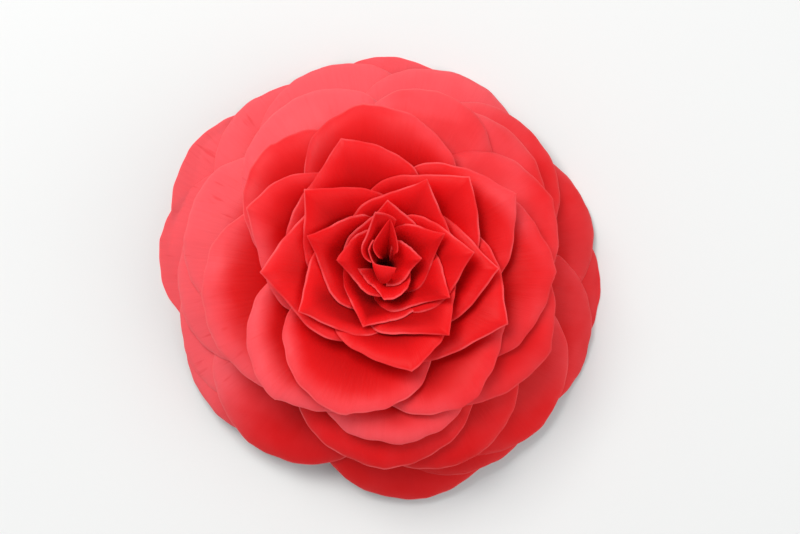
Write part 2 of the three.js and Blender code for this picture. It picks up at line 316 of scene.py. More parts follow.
def build_margin():
    group, inside, outside = new_group("margin", {"Rim": 0.5, "Unevenness": 0.4}, ["Rim mask"])
    place = object_place(group)
    drift = new_node(group, "ShaderNodeTexNoise", Scale=260.0, Detail=2.0)
    stretches = new_node(group, "ShaderNodeTexNoise", Scale=110.0, Detail=1.0)
    for noise in (drift, stretches):
        group.links.new(place, noise.inputs["Vector"])
    uneven = math_node(group, "SUBTRACT", drift.outputs["Fac"], 0.5)
    ragged = math_node(group, "ADD", 1.0, product(group, uneven, inside.outputs["Unevenness"]))
    width = product(group, inside.outputs["Rim"], ragged)
    narrow = math_node(group, "DIVIDE", attribute_node(group, "edge_mm"), width)
    thin = range_node(group, narrow, *RIM_FADE)
    bright = range_node(group, stretches.outputs["Fac"], *RIM_STRETCHES)
    group.links.new(product(group, thin, bright), outside.inputs["Rim mask"])
    return group


MARGIN = build_margin()
print("margin group", len(MARGIN.nodes), "nodes")

# %% [markdown]
# ## Finish: the petal's skin
# A petal is deep red at its base, partly its own colour and partly painted shade where the next petal
# covers it, and brighter towards the margin. The outer petals, which have been open longest, turn coral
# on the upper left, where the light falls, and a milder coral at the upper right: that coral is painted
# highlight. A painted image could hold all that, but it would have to be drawn for each petal. Here the
# colour is mixed from what each petal knows of itself: its age, the distance to its edge, and its place
# on the bloom in metres.

# %% What a petal knows of a spot
# Ranges for range nodes: from, to, and the shares at the two ends
# The lit side: the upper left, where the light falls. The painted light of the petals follows it
LIT_SIDE = (-0.02, 0.03, 0.1, 0.9)
# The upper right, which gets a milder painted highlight
UPPER_RIGHT, SHORT_OF_RIGHT = (0.036, 0.043), (0.029, 0.037, 1.0, 0.3)
GROWN_AGES = (0.25, 0.8)


def petal_spot(tree):
    """Sockets for a spot of a petal: its place in metres, its age, the side it is on."""
    apart = new_node(tree, "ShaderNodeSeparateXYZ")
    tree.links.new(object_place(tree), apart.inputs[0])
    x, y, z = (apart.outputs[axis] for axis in "XYZ")
    squares = [math_node(tree, "POWER", side, 2.0) for side in (x, y)]
    age = attribute_node(tree, "age")
    return SimpleNamespace(
        x=x, y=y, z=z,
        from_axis=math_node(tree, "SQRT", math_node(tree, "ADD", *squares)),
        edge_mm=attribute_node(tree, "edge_mm"),
        age=age,
        grown=range_node(tree, age, *GROWN_AGES),
        lit_side=range_node(tree, math_node(tree, "SUBTRACT", y, x), *LIT_SIDE),
        upper_right=zone(tree, (math_node(tree, "ADD", x, y), UPPER_RIGHT), (x, SHORT_OF_RIGHT)),
    )


print("petals are grown from age", GROWN_AGES[0], "to", GROWN_AGES[1])

# %% [markdown]
# ## The reds of a petal
# The deep red of the base gives way to a brighter red over the last millimetres before the edge. That red
# is partly the petal's own colour and partly painted shade where the next petal covers it. On the oldest
# petals the lit side loses most of it, as painted light. Low in the heart, and round its lower side, the
# red is darker still, as painted shade. Real petals shade each other there, but they lie closer together
# than blades of this thickness can, so shadow alone would be too weak.

# %% Reds
DEEP_RED = (0.60, 0.0025, 0.0035)
BRIGHT_RED = (0.79, 0.0045, 0.0065)
# HOLLOW_RED is painted shade, low in the heart and round its lower side
HOLLOW_RED = (0.16, 0.0002, 0.0004)
BASE_MM_YOUNG, BASE_MM_GROWN = 8.0, 5.0
BASE_FADE = (0.05, 1.0)
# Painted light: on the oldest petals the lit side loses the deep red of the base
LIT_BASE_AGES = (0.66, 0.84, 0.0, 0.8)
HEART_AGES, HOLLOW_HEIGHTS = (0.0, 0.2, 1.0, 0.0), (0.021, 0.028, 0.8, 0.0)
SHELTER_FROM, SHELTER_TO = (0.003, 0.006), (0.012, 0.018, 1.0, 0.0)
SHELTER_BELOW, SHELTER_LEFT = (-0.006, -0.001, 1.0, 0.0), (0.002, 0.009, 1.0, 0.6)
SHELTER_INWARD_MM = (0.5, 3.0, 0.0, 0.55)


def petal_reds(tree, spot):
    """The colour of a petal's body, before any paleness."""
    # The deep base: partly the petal's own red, partly painted shade where the next petal covers it
    base_mm = math_node(tree, "ADD", product(tree, spot.age, BASE_MM_GROWN), BASE_MM_YOUNG)
    inward = range_node(tree, math_node(tree, "DIVIDE", spot.edge_mm, base_mm), *BASE_FADE)
    # Painted light: the lit side of the oldest petals keeps less of the deep base
    painted_light_share = product(tree, range_node(tree, spot.age, *LIT_BASE_AGES), spot.lit_side)
    # Painted shade: darker low in the heart, and round the heart's lower side
    hollow = zone(tree, (spot.age, HEART_AGES), (spot.z, HOLLOW_HEIGHTS))
    sheltered = zone(
        tree,
        (spot.from_axis, SHELTER_FROM),
        (spot.from_axis, SHELTER_TO),
        (spot.y, SHELTER_BELOW),
        (spot.x, SHELTER_LEFT),
        (spot.edge_mm, SHELTER_INWARD_MM),
    )
    return paint(
        tree,
        BRIGHT_RED,
        (product(tree, inward, rest_of(tree, painted_light_share)), DEEP_RED),
        (hollow, HOLLOW_RED),
        (sheltered, HOLLOW_RED),
    )


print("reds", DEEP_RED, BRIGHT_RED, HOLLOW_RED)

# %% [markdown]
# ## Where a petal is pale: painted highlights
# On the lit upper left the outer petals get a painted highlight of coral, each petal with a tone of its
# own, and those at the upper right get a milder one. Besides, every petal has a soft painted highlight
# along its edge: narrow and faint on a young petal, broad on a grown one, weaker at the top and on the
# right, and lost where the oldest petals lie in the shade of the others at the bottom. The stronger zone
# counts, and the band is added.

# %% Paleness
CORAL = (0.97, 0.1, 0.118)
# Painted highlight on the lit side of the outer petals
HIGHLIGHT_FROM, HIGHLIGHT_AGES = (0.030, 0.039), (0.74, 0.84)
OWN_TONES = (0.0, 1.0, 0.72, 1.08)
OPEN_AGES = (0.5, 0.56, 0.0, 0.42)
# Painted highlight along each petal's edge
BAND_MM_YOUNG, BAND_MM_GROWN = 3.0, 9.0
BAND_FADE, BAND_FALL = (0.0, 1.0, 1.0, 0.0), 1.4
BAND_OF_GROWN = (0.0, 1.0, 0.12, 0.8)
BAND_TO_RIGHT, BAND_TO_TOP = (0.0, 0.03, 1.0, 0.4), (0.0, 0.025, 1.0, 0.45)
SHADED_AGES, SHADED_BOTTOM = (0.74, 0.8), (-0.03, -0.015, 0.85, 0.0)
BAND_LOST_UPPER_RIGHT = 0.7
LEAST_PALE, CLOUD_SHARE = 0.05, 0.14


def own_tone(tree):
    """A tone that belongs to each petal, from its number."""
    noise = new_node(tree, "ShaderNodeTexWhiteNoise", noise_dimensions="1D")
    tree.links.new(attribute_node(tree, "petal_number"), noise.inputs["W"])
    return range_node(tree, noise.outputs["Value"], *OWN_TONES)


def highlight_zones(tree, spot):
    """How strong the painted highlight on the lit side is, or the milder one at the upper right where
    that is stronger.
    """
    # Painted highlight on the lit side, with a tone of each petal's own
    painted_light_share = zone(tree, (spot.from_axis, HIGHLIGHT_FROM), (spot.age, HIGHLIGHT_AGES))
    painted_light_share = product(tree, painted_light_share, spot.lit_side, own_tone(tree))
    milder = product(tree, spot.upper_right, range_node(tree, spot.age, *OPEN_AGES))
    return math_node(tree, "MAXIMUM", painted_light_share, milder)


def edge_highlight(tree, spot):
    """How strong the painted highlight along the edge is."""
    band_mm = math_node(tree, "ADD", product(tree, spot.grown, BAND_MM_GROWN), BAND_MM_YOUNG)
    to_edge = range_node(tree, math_node(tree, "DIVIDE", spot.edge_mm, band_mm), *BAND_FADE)
    strength = zone(tree, (spot.grown, BAND_OF_GROWN), (spot.x, BAND_TO_RIGHT), (spot.y, BAND_TO_TOP))
    shaded = zone(tree, (spot.age, SHADED_AGES), (spot.y, SHADED_BOTTOM))
    lost = math_node(tree, "MAXIMUM", shaded, product(tree, spot.upper_right, BAND_LOST_UPPER_RIGHT))
    return product(tree, math_node(tree, "POWER", to_edge, BAND_FALL), strength, rest_of(tree, lost))


def highlight_and_tone(tree, spot, clouds):
    """How far a spot turns from red to coral: the painted highlights, a little coral of the petal's own,
    and less of it where the mottle lies.
    """
    pale = math_node(tree, "ADD", highlight_zones(tree, spot), edge_highlight(tree, spot))
    pale = math_node(tree, "ADD", pale, LEAST_PALE)
    return math_node(tree, "SUBTRACT", pale, product(tree, clouds, CLOUD_SHARE))


print("pale band", BAND_MM_YOUNG, "to", BAND_MM_YOUNG + BAND_MM_GROWN, "mm")

# %% [markdown]
# ## The skin put together
# Over the reds go the coral of the painted highlights, painted shade on the far bottom and right, the
# veins, a few dry streaks on the left, and a painted highlight along the rim, which is dimmer on the
# outer petals at the right. The skin is matt and a little velvety, because its cells stand up like fine
# grain, and light passes some way into it. So the shader gets some subsurface light, a trace of sheen,
# and bumps of grain and veins.

# %% Petal skin
# The colour of the painted highlight along the rim
RIM_PINK = (0.97, 0.11, 0.12)
PETAL_SHADER = {
    "Specular IOR Level": 0.14,
    "Subsurface Weight": 0.2,
    "Subsurface Radius": (1.0, 0.16, 0.12),
    "Subsurface Scale": 0.0018,
    "Sheen Weight": 0.02,
    "Sheen Roughness": 0.45,
    "Sheen Tint": (1.0, 0.72, 0.74, 1),
}
# Painted shade on the far bottom and right rims
FAR_BOTTOM, FAR_RIGHT = (-0.041, -0.034, 0.5, 0.0), (0.042, 0.047, 0.0, 0.35)
VEIN_SHARE = 0.05
DRY_WHERE_PALE, DRY_TO_LEFT = (0.3, 0.7), (-0.03, -0.012, 0.36, 0.1)
RIM_SHARE = 0.7
DIM_RIM_FROM, DIM_RIM_TO_RIGHT = (0.027, 0.031), (0.008, 0.02, 0.0, 0.7)
PETAL_ROUGHNESS = (0.0, 1.0, 0.46, 0.58)
GRAIN_SHARE = 0.25


def rim_line(tree, spot):
    """How much the painted highlight of the rim covers."""
    margin = place_group(tree, MARGIN, Rim=0.5, Unevenness=0.5)
    dim = zone(tree, (spot.from_axis, DIM_RIM_FROM), (spot.x, DIM_RIM_TO_RIGHT))
    rim_light = product(tree, attribute_node(tree, "rim_light"), rest_of(tree, dim))
    return product(tree, margin.outputs["Rim mask"], rim_light, RIM_SHARE)


def petal_colour(tree, veins):
    """The reds of a petal with all that lies over them."""
    spot = petal_spot(tree)
    pale = highlight_and_tone(tree, spot, veins.outputs["Mottle"])
    # Painted shade on the far bottom and right rims
    bottom = range_node(tree, spot.y, *FAR_BOTTOM)
    right = range_node(tree, spot.x, *FAR_RIGHT)
    where_dry = zone(tree, (pale, DRY_WHERE_PALE), (spot.x, DRY_TO_LEFT))
    return paint(
        tree,
        petal_reds(tree, spot),
        # The coral of the painted highlights
        (range_node(tree, pale, 0.0, 1.0), CORAL),
        (math_node(tree, "MAXIMUM", bottom, right), DEEP_RED),
        (product(tree, veins.outputs["Veins"], VEIN_SHARE), DEEP_RED),
        (product(tree, veins.outputs["Dry streaks"], where_dry), BRIGHT_RED),
        (rim_line(tree, spot), RIM_PINK),
    )


def petal_skin():
    material, tree, shader = new_finish("petal_skin", PETAL_SHADER)
    veins = place_group(tree, FINE_VEINS, Across=62.0, Along=2.2)
    tree.links.new(attribute_node(tree, "petal_number"), veins.inputs["Petal"])
    rough = range_node(tree, veins.outputs["Mottle"], *PETAL_ROUGHNESS)
    grain = new_node(tree, "ShaderNodeTexNoise", Scale=5200.0, Detail=1.0)
    tree.links.new(object_place(tree), grain.inputs["Vector"])
    fine = product(tree, grain.outputs["Fac"], GRAIN_SHARE)
    height = math_node(tree, "ADD", fine, veins.outputs["Veins"])
    colour = petal_colour(tree, veins)
    link_finish(tree, shader, colour, rough, height, Strength=0.22, Distance=0.00012)
    return material


PETAL_SKIN = petal_skin()
print("petal skin", len(PETAL_SKIN.node_tree.nodes), "nodes")

# %% [markdown]
# ## The petals' places
# The petals grow in whorls, each turned against the last, and overlap like roof
# tiles. Every petal lies on a cup of its own: the cups of the heart stand steeply,
# the next ones open like a bowl, and the outermost arch over and hang down. These
# are the frame's own numbers, in degrees and millimetres, so that each petal here
# covers the petal of the frame that it stands for.

# %% Whorls and cups
# Each petal: direction and reach of its tip, then for its left and its right side, or
# for both at once, the half width in degrees, the reach of the side's end in mm, and
# how straight the side is
WHORLS = [
    [
        (8, 6.6, (68, 5.1, 0.55), (100, 4.4, 1.35)),
        (266, 6.7, (92, 4, 0), (80, 5.8, 1.5)),
        (174, 9.8, (98, 5.4, 1.4), (66, 8.2, 0.35)),
    ],
    [
        (29, 13.6, (62, 7.5, 1), (84, 5, 1.6)),
        (88, 13.8, (84, 8.8, 1.25), (62, 9.8, 0.8)),
        (335, 14.3, (60, 9.6, 0.8), (92, 4.5, 1.75)),
        (249, 12.4, (66, 10.2, 0.85), (84, 8, 1.25)),
    ],
    [
        (157, 17.3, (78, 9.6, 1.25), (70, 9.5, 0.95)),
        (10, 18.7, (60, 12.5, 0.95), (70, 10, 1)),
        (314, 19, (56, 14, 0.85), (80, 8.5, 1.3)),
        (206, 20, (76, 10, 1.05), (64, 13, 0.9)),
    ],
    [
        (65, 20.7, (66, 12, 1.1), (60, 14.5, 1)),
        (285, 22, (46, 15.5, 0.5), (76, 12.5, 0.7)),
        (135, 23.8, (62, 11.5, 1.1), (66, 10.5, 0.95)),
    ],
    [
        (1, 24.1, (64, 14, 1.1), (62, 12, 0.9)),
        (181, 26.2, (70, 15, 1), (56, 18, 0.75)),
        (48, 27, (66, 14, 0.9), (56, 14, 0.75)),
        (337, 28.5, (54, 20, 0.6), (70, 16, 1)),
    ],
    [
        (108, 30, (60, 22, 0.95), (52, 16, 0.5)),
        (255, 31.8, (50, 18, 0.4), (56, 21, 0)),
        (155, 32.6, (56, 18, 0.95), (52, 14, 0.2)),
        (31, 33.1, (54, 20, 0.6), (50, 16, 0.7)),
    ],
    [
        (307, 33.4, (50, 22, 0.45), (52, 20, -0.1)),
        (229, 36.3, (46, 22, 0.5), (50, 22, 0.1)),
        (276, 37.5, (46, 26, 0.2), (46, 24, 0.15)),
        (1, 37.6, (48, 26, 0.3)),
    ],
    [
        (97, 38.1, (46, 14, 0.15), (54, 20, 0.3)),
        (131, 38.7, (46, 22, 0.2), (42, 20, 0.3)),
        (190, 40.7, (50, 28, 0), (40, 30, 0)),
        (336, 40.4, (44, 29, 0.3)),
    ],
    [
        (25, 41.3, (44, 24, 0.2), (44, 29, 0.3)),
        (270, 42.6, (38, 32, 0.1), (38, 31, 0.2)),
        (74, 43.5, (34, 25, 0), (36, 28, 0.1)),
    ],
    [
        (48, 44.2, (36, 33, 0.1)),
        (117, 45.6, (42, 28, 0.15), (38, 28, 0)),
        (294, 45.2, (34, 33, 0.1)),
        (160, 46.9, (34, 34, 0), (32, 31, 0)),
    ],
    [
        (180, 47.3, (32, 35, 0.1)),
        (230, 48, (34, 35, 0.1)),
        (198, 48.2, (32, 35, 0.1)),
    ],
    [
        (46, 48.4, (32, 36, 0.1)),
        (318, 49, (32, 36, 0.1)),
        (302, 48.6, (30, 37, 0.1)),
        (211, 49.5, (30, 38, 0.1)),
    ],
    [
        (338, 49.8, (30, 38, 0.1), (28, 38, 0.1)),
        (20, 50.2, (28, 38, 0.1)),
        (358, 50.2, (28, 38, 0.1), (30, 38, 0.1)),
        (281, 50.4, (32, 38, 0.1)),
    ],
    [
        (70, 51.6, (28, 39, 0.1), (30, 39, 0.1)),
        (106, 52.2, (28, 39, 0.1)),
        (125, 52.4, (30, 38, 0.1), (28, 38, 0.1)),
    ],
    [
        (89, 52.8, (26, 40, 0.1)),
        (169, 52.8, (28, 39, 0.1)),
        (146, 54.8, (28, 42, 0.1)),
    ],
]
CUPS = {
    "cup": [5, 12, 25, 35, 50, 60, 66],
    "radius": [1, 2.5, 4, 5, 6.5, 7.5, 8],
    "height": [22, 14, 12, 10.5, 8, 6.4, 5.4],
    "slope": [88, 80, 70, 55, 36, 20, 10],
    "bend": [0.045, 0.0175, 0.021, 0.0227, 0.0255, 0.0185, 0.014],
}
APART = ([5, 12, 25, 35, 45, 66], [1.4, 2.2, 1.8, 1.6, 1.8, 1.7])
TOUCHING = 0.88
HANG_FROM, HANG_RATE = 42, 0.35
SEED, DRAW_STEP, DRAW_RANGE = 281, 16807, 2147483647


def draws(seed):
    """A repeatable run of numbers from 0 to 1, the same as the frame's."""
    state = seed
    while True:
        state = state * DRAW_STEP % DRAW_RANGE
        yield state / DRAW_RANGE


def arrange():
    """The petals from the heart outward, each with the cup that it lies on."""
    listed = [
        {"whorl": k, "direction": direction, "reach": reach, "left": sides[0], "right": sides[-1]}
        for k, petals in enumerate(WHORLS)
        for direction, reach, *sides in petals
    ]
    random = draws(SEED)
    laid = []
    for petal in listed:
        cup = petal["reach"] + max(0, petal["reach"] - HANG_FROM) * HANG_RATE
        for other in laid:
            turn = (petal["direction"] - other["direction"] + 180) % 360 - 180
            sides = ("right", "left") if turn > 0 else ("left", "right")
            if abs(turn) < (petal[sides[0]][0] + other[sides[1]][0]) * TOUCHING:
                cup = max(cup, other["cup"] + np.interp(other["cup"], *APART))
        point = min(1.0, max(0.0, (petal["left"][2] + petal["right"][2]) / 2))
        petal.update(cup=cup, point=point, phase=next(random) * 2 * math.pi, ripple=next(random))
        laid.append(petal)
    return laid


PETALS = arrange()
print(len(PETALS), "petals on cups", round(PETALS[0]["cup"], 1), "to", round(PETALS[-1]["cup"], 1))

# %% [markdown]
# ## One petal blank
# All the petals start from one flat blank: a grid with its own map, whose columns run
# from the base to the margin. In edit mode the rows along its margin are divided once
# more, because the curl and the waves there need closer faces than the body of the
# blade. Each petal is then a copy of it with a mesh of its own.

# %% Petal blank
BLANK_COLUMNS, BLANK_ROWS = 56, 30
MARGIN_ROWS = 3


def pick(test):
    """In edit mode, selects the faces whose middle passes the test."""
    mesh = bmesh.from_edit_mesh(bpy.context.object.data)
    for face in mesh.faces:
        face.select_set(False)
    for face in mesh.faces:
        if test(face.calc_center_median()):
            face.select_set(True)
    bmesh.update_edit_mesh(bpy.context.object.data)


def flat_blank(name, columns, rows):
    """A flat grid from -1 to 1 with a map of its own."""
    bpy.ops.object.select_all(action="DESELECT")
    bpy.ops.mesh.primitive_grid_add(x_subdivisions=columns, y_subdivisions=rows, size=2, calc_uvs=True)
    blank = bpy.context.object
    blank.name = name
    blank.data.uv_layers[0].name = "petal_map"
    return blank


def make_blank():
    blank = flat_blank("petal_blank", BLANK_COLUMNS, BLANK_ROWS)
    bpy.ops.object.mode_set(mode="EDIT")
    bpy.ops.mesh.select_mode(type="FACE")
    edge = 1 - 2 * MARGIN_ROWS / BLANK_ROWS
    pick(lambda middle: middle.y > edge)
    bpy.ops.mesh.subdivide(number_cuts=1)
    bpy.ops.object.mode_set(mode="OBJECT")
    return blank


BLANK = make_blank()
print("blank", len(BLANK.data.vertices), "points", len(BLANK.data.polygons), "faces")

# %% [markdown]
# ## Laying a petal on its cup
# A flat blade is bent over its cup by a formula: each column of the blank leaves the
# root at the cup's slope, bends over evenly and ends where the outline asks for it.
# No bend or warp modifier follows such a cup, so the points are placed in code. The
# same formula drew the frame, and the finer blank now takes what the frame leaves
# out: drawn-out tips, curled and waved margins.

# %% Outline of a petal
TIP_HALF_ANGLE = math.radians(54)
SIDE_CURVE, SIDE_CURVE_POINTED = 2.3, 0.7
POINT_DRAWN_OUT, POINT_WIDTH = 0.35, 1.2
NICK_DEPTH, NICK_LESS_POINTED, NICK_LESS_OUTER = 0.25, 0.15, 0.12
OUTER_FROM, OUTER_FULL = 38, 44
# Each wave of nicks: turns across the petal, more turns by the petal's ripple, size,
# and how often the petal's phase and ripple shift it
NICK_WAVES = [(9, 0, 1.0, 3, 0), (17, 0, 0.7, 5, 1), (31, 6, 0.5, 1, 0)]


def by_side(petal, v, k):
    """The k-th number of the petal's left side where v is above 0, else of its right."""
    return np.where(v > 0, petal["left"][k], petal["right"][k])


def share_of(value, start, full):
    """0 up to the start, 1 from where it is full, and even between them."""
    return np.clip((value - start) / (full - start), 0, 1)


def straight_side(turn):
    """Share by which a straight side falls short of the tip, at a turn from it in radians."""
    open_turn = np.minimum(turn, math.pi / 2 - TIP_HALF_ANGLE)
    return 1 - math.sin(TIP_HALF_ANGLE) / np.sin(TIP_HALF_ANGLE + open_turn)


def fall_back(petal, v):
    """Share of its length by which the margin stops short of the tip, across the petal."""
    away = np.abs(v)
    turn = np.radians(by_side(petal, v, 0))
    side_end = 1 - by_side(petal, v, 1) / petal["reach"]
    pointed = by_side(petal, v, 2)
    curve = SIDE_CURVE + SIDE_CURVE_POINTED * pointed
    rounded = (side_end - pointed * straight_side(turn)) * away**curve
    return pointed * straight_side(turn * away) + rounded


def along_margin(petal, v):
    """The way from the tip along the margin, in mm."""
    return v * np.radians(by_side(petal, v, 0)) * petal["reach"]


def ragged_margin(petal, v):
    """Small unevenness of the margin in mm: a drawn-out point, and shallow nicks."""
    arc = np.abs(along_margin(petal, v))
    point = petal["point"] * POINT_DRAWN_OUT * np.exp(-arc / POINT_WIDTH)
    a, b = petal["phase"], petal["ripple"]
    uneven = sum(
        size * np.sin((turns + more * b) * v + by_phase * a + by_ripple * b)
        for turns, more, size, by_phase, by_ripple in NICK_WAVES
    )
    outer = share_of(petal["reach"], OUTER_FROM, OUTER_FULL)
    return point + (NICK_DEPTH - NICK_LESS_POINTED * petal["point"] - NICK_LESS_OUTER * outer) * uneven


print("outline of the first petal", np.round(fall_back(PETALS[0], np.linspace(0, 1, 5)), 3))

# %% Curl and waves of a petal
LIP, LIP_WIDTH, LIP_CALMED = 1.7, 1.9, 0.5
CUPPING, CUPPING_WIDTH = 0.9, 5.5
TIP_RECURVE, TIP_REACH = 0.25, 2.5
KEEL, KEEL_WIDTH, KEEL_LENGTH = 0.08, 1.6, 5.0
WAVE, WAVE_FROM, WAVE_FULL = 0.3, 26, 42
BROAD_TURNS, BROAD_RISE, NARROW_TURNS, NARROW_RISE = 3, 4, 3.5, 5
CALM_FROM, CALM_FULL, CALM_SHARE = 46, 48, 0.65
CRIMP, CRIMP_INNER, CRIMP_DEPTH = 0.17, 0.25, 5.0
SHORT_CRIMP, SHORT_MM, BEAT_MM = 0.4, 1.3, 5
MIDDLE_MM, LONG_CRIMP, LONG_MM = 2.6, 0.7, 4.3


def crimps(petal, arc):
    """Three crimps along the margin, of which the shortest comes and goes."""
    a, b = petal["phase"], petal["ripple"]
    short = SHORT_CRIMP * (1 + np.sin(arc / BEAT_MM + 6 * b)) * np.sin(arc / SHORT_MM + 4 * a)
    return short + np.sin(arc / MIDDLE_MM + a) + LONG_CRIMP * np.sin(arc / LONG_MM + 3 * b)


def lift(petal, u, v, length):
    """How far the blade stands off its cup, in mm: its curl, keel, waves and crimps."""
    to_margin = (1 - u) * length
    arc = along_margin(petal, v)
    calm = CALM_SHARE * share_of(petal["reach"], CALM_FROM, CALM_FULL)
    lip = (LIP - LIP_CALMED * calm) * np.exp(-to_margin / LIP_WIDTH)
    off = CUPPING * np.exp(-to_margin / CUPPING_WIDTH) - lip
    recurve = TIP_RECURVE * np.exp(-np.hypot(to_margin, arc) / TIP_REACH)
    keel = KEEL * np.exp(-np.abs(arc) / KEEL_WIDTH) * np.exp(-to_margin / KEEL_LENGTH)
    off = off - petal["point"] * (recurve + keel)
    share = share_of(petal["reach"], WAVE_FROM, WAVE_FULL) * (1 - calm)
    a, b = petal["phase"], petal["ripple"]
    broad = np.sin(BROAD_TURNS * v + a) * u**BROAD_RISE
    narrow = np.sin((NARROW_TURNS + b) * v + 2 * a) * u**NARROW_RISE
    crimp = CRIMP * (CRIMP_INNER + (1 - CRIMP_INNER) * share) * crimps(petal, arc)
    return off + share * WAVE * (broad + narrow) + crimp * np.exp(-to_margin / CRIMP_DEPTH)


print("curl of the last petal's margin", round(float(lift(PETALS[-1], 1.0, 0.0, 48.0)), 2), "mm")

# %% [markdown]
# ## The whole bloom's own unevenness
# Petals that lie on each other bulge and sag together. So the sag of the rim, and a
# few broad swells, belong to the bloom and are given to every petal alike, which
# also keeps them from cutting through one another.

# %% Sag and swells of the bloom
SAG = ([0, 45, 90, 145, 210, 275, 335, 360], [4.5, 4.5, 1.2, 0.4, 4.2, 2.6, 4.5, 4.5])
SAG_FROM, SAG_FULL = 26, 48
SWELL, SWELL_FROM, SWELL_FULL, SWELL_EASE = 0.55, 22, 44, 1.5
# Each swell: turns round the bloom, start, turn for each mm outward, share of the height
SWELLS = [(5, 1.2, 0, 1.0), (9, 0, 1 / 9, 0.8), (14, 0, -1 / 6, 0.5)]
HEART_SHIFT, HEART_FADE = (0.7, 2.2), 12
PETAL_THICK, RIM_THICK = 0.46, 0.28
ROOT_SPAN, FULL_SPAN_FROM = 0.8, 0.5
NICK_RISE = 3
CLEAR_OF_FLOOR = 0.02


def settle(radius, height, direction):
    """The height of a place of the bloom in mm, with its sag and its swells."""
    hang = np.maximum(0, (radius - SAG_FROM) / (SAG_FULL - SAG_FROM)) ** 2
    height = height - hang * np.interp(direction % 360, *SAG)
    turn = np.radians(direction)
    swell = sum(
        share * np.sin(turns * turn + start + outward * radius) for turns, start, outward, share in SWELLS
    )
    return height + share_of(radius, SWELL_FROM, SWELL_FULL) ** SWELL_EASE * SWELL * swell


def petal_places(petal, u, v):
    """Places of the blade's middle in mm, and the distance of each from the free edge."""
    radius0, height0, slope, bend = (
        np.interp(petal["cup"], CUPS["cup"], CUPS[key]) for key in ("radius", "height", "slope", "bend")
    )
    slope = math.radians(slope)
    end = math.asin(math.sin(slope) - bend * (petal["reach"] - radius0))
    length = (slope - end) / bend
    column = length * (1 - fall_back(petal, v)) + ragged_margin(petal, v) * u**NICK_RISE
    angle = slope - bend * column * u
    off = lift(petal, u, v, length)
    radius = radius0 + (math.sin(slope) - np.sin(angle)) / bend - off * np.sin(angle)
    height = height0 + (np.cos(angle) - math.cos(slope)) / bend + off * np.cos(angle)
    span = by_side(petal, v, 0) * (ROOT_SPAN + (1 - ROOT_SPAN) * np.minimum(1, u / FULL_SPAN_FROM))
    direction = petal["direction"] + span * v
    low = np.maximum(settle(radius, height, direction), PETAL_THICK / 2 + CLEAR_OF_FLOOR)
    near = math.exp(-(petal["cup"] - CUPS["cup"][0]) / HEART_FADE)
    turn = np.radians(direction)
    places = np.stack([
        radius * np.cos(turn) + near * HEART_SHIFT[0],
        radius * np.sin(turn) + near * HEART_SHIFT[1],
        low,
    ], axis=1)
    side = (1 - np.abs(v)) * np.radians(span) * radius
    return places, np.minimum((1 - u) * column, side)


places, edge = petal_places(PETALS[-1], np.array([0.0, 1.0]), np.array([0.0, 0.0]))
print("last petal from", np.round(places[0], 1), "to", np.round(places[1], 1))

# %% [markdown]
# ## From blade to petal
# The laid blade is still a sheet without thickness. Solidify gives it the fleshy
# thickness of a camellia petal, thinner at the margin through a vertex group, and a
# small bevel rounds the rim, which is what catches the light on the real petals.

# %% Make a petal
BODY_MM = 6.0
BEVEL_SEGMENTS, BEVEL_ANGLE = 2, math.radians(60)
# Of a blade: its thickness in mm, the share of it that the rim keeps, its bevel in mm
PETAL_BUILD = (PETAL_THICK, RIM_THICK / PETAL_THICK, 0.1)
AGE_FROM, AGE_SPAN = 7, 45


def finish_blade(blade, thick, rim_share, bevel):
    """Gives a sheet its thickness and round rim, and smooth faces."""
    solid = blade.modifiers.new("thickness", "SOLIDIFY")
    solid.thickness = thick * MM
    solid.offset = 0
    solid.vertex_group = "body"
    solid.thickness_vertex_group = rim_share
    round_rim = blade.modifiers.new("round_rim", "BEVEL")
    round_rim.width = bevel * MM
    round_rim.segments = BEVEL_SEGMENTS
    round_rim.limit_method = "ANGLE"
    round_rim.angle_limit = BEVEL_ANGLE
    bpy.ops.object.select_all(action="DESELECT")
    blade.select_set(True)
    bpy.context.view_layer.objects.active = blade
    for modifier in [m.name for m in blade.modifiers]:
        bpy.ops.object.modifier_apply(modifier=modifier)
    bpy.ops.object.shade_smooth()


def keep_attributes(mesh, **values):
    """Keeps attributes on a mesh, each with a number for every point or one for all."""
    for name, value in values.items():
        attribute = mesh.attributes.new(name, "FLOAT", "POINT")
        value = np.broadcast_to(np.asarray(value, dtype=np.float32), len(mesh.vertices))
        attribute.data.foreach_set("value", np.ascontiguousarray(value))


def copy_blank(blank, name):
    """A copy of a blank with its own mesh, and the place of each point on the blank."""
    piece = blank.copy()
    piece.data = blank.data.copy()
    piece.name = name
    bpy.context.scene.collection.objects.link(piece)
    flat = np.zeros(len(piece.data.vertices) * 3)
    piece.data.vertices.foreach_get("co", flat)
    flat = flat.reshape(-1, 3)
    return piece, (flat[:, 1] + 1) / 2, flat[:, 0]


def make_blade(blank, name, lay, build, **own):
    """A blade from a blank. lay gives its places, and own is what its finish asks for."""
    piece, u, v = copy_blank(blank, name)
    places, edge_mm = lay(u, v)
    piece.data.vertices.foreach_set("co", (places * MM).ravel())
    piece.data.update()
    keep_attributes(piece.data, edge_mm=edge_mm, **own)
    body = piece.vertex_groups.new(name="body")
    for index, edge_here in enumerate(edge_mm):
        body.add([index], float(min(1.0, edge_here / BODY_MM)), "REPLACE")
    finish_blade(piece, *build)
    return piece


def make_petal(petal, number):
    age = (petal["reach"] - AGE_FROM) / AGE_SPAN
    own = {"rim_light": 1.0, "age": age, "petal_number": number}
    return make_blade(BLANK, f"petal_{number:02d}", partial(petal_places, petal), PETAL_BUILD, **own)


petals = [make_petal(petal, k + 1) for k, petal in enumerate(PETALS)]
print("petals", len(petals), "faces", sum(len(p.data.polygons) for p in petals))

# %% [markdown]
# ## The heart
# The last petals stay small and upright, and close round a dark hollow. They are cut
# from the same blank, and stand on a ring of their own: each has a radius for its
# foot and for its tip, so that it leans in or out. The last one is a hood: it bulges
# out and then bends over the hollow, and shows its back.

